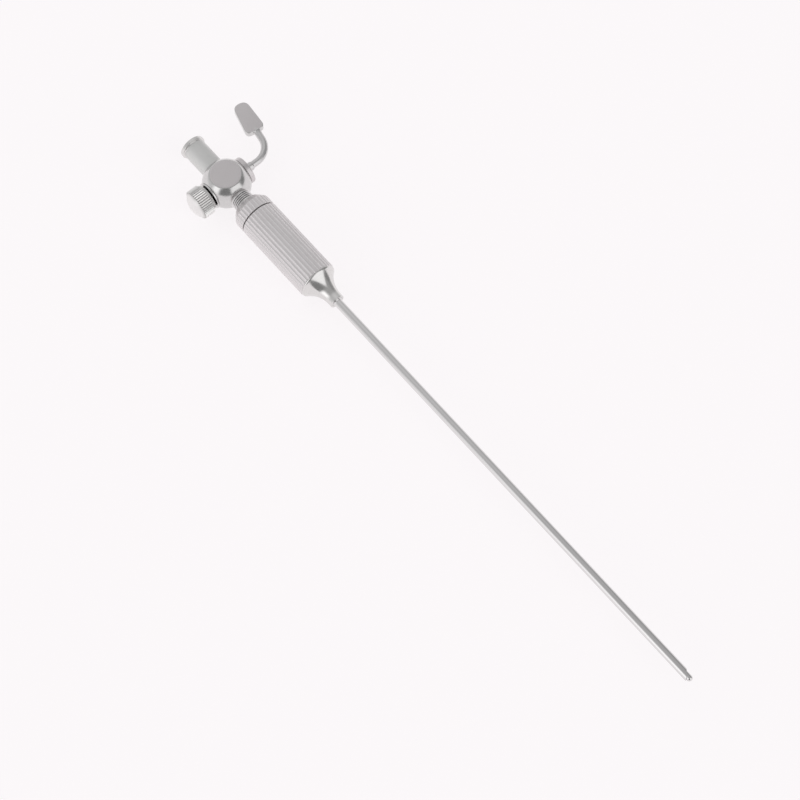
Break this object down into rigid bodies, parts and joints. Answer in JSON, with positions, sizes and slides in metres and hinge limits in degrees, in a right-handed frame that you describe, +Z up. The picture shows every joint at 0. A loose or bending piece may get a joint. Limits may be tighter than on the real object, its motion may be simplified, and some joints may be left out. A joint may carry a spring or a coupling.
{
  "type": "veress needle",
  "caption": "Spring-loaded insufflation needle: slim bevelled cannula on a fluted grip, blunt sliding stylet, and a ball stopcock with a bent lever and a conical gas socket.",
  "frame": {"origin": "on the needle's axis, in the end face of the nose where the needle comes out", "axes": "+X along the needle to its point, +Y out of the valve on the lever's side, +Z up out of the valve's upper flat"},
  "size_m": [0.2104, 0.0339, 0.0116],
  "materials": {
    "satin_steel": "satin, fine blasted",
    "fluted_steel": "satin turned, flutes brushed along",
    "polished_steel": "polished",
    "needle_steel": "drawn tube, fine lengthwise grain",
    "knurled_steel": "bright knurled",
    "spring_steel": "drawn wire",
    "silicone": "matte, red-brown",
    "ptfe": "waxy white"
  },
  "bodies": {
    "handle": {"outer_cannula": "needle_steel", "nose_cone": "polished_steel", "seal_ring": "silicone", "seal_screw": "satin_steel", "grip_barrel": "fluted_steel", "end_cap": "fluted_steel", "guide_bush": "ptfe", "return_spring": "spring_steel"},
    "stylet": {"blunt_stylet": "needle_steel", "spring_collar": "satin_steel", "guide_sleeve": "polished_steel", "threaded_stem": "polished_steel", "valve_body": "satin_steel", "luer_socket": "satin_steel"},
    "key": {"valve_plug": "satin_steel", "lever_arm": "satin_steel", "lever_paddle": "satin_steel", "key_washer": "polished_steel", "spring_washer": "spring_steel", "thumb_nut": "knurled_steel"}
  },
  "joints": [
    {"name": "stylet_slide", "type": "slide", "parent": "handle", "child": "stylet", "axis": [1, 0, 0], "range_m": [-0.004, 0], "stiffness_N_per_m": 580, "springref_m": 0.004, "deforming": ["return_spring"]},
    {"name": "key_turn", "type": "hinge", "parent": "stylet", "child": "key", "pos_m": [-0.0494, 0, 0], "axis": [0, 1, 0], "continuous": true}
  ]
}
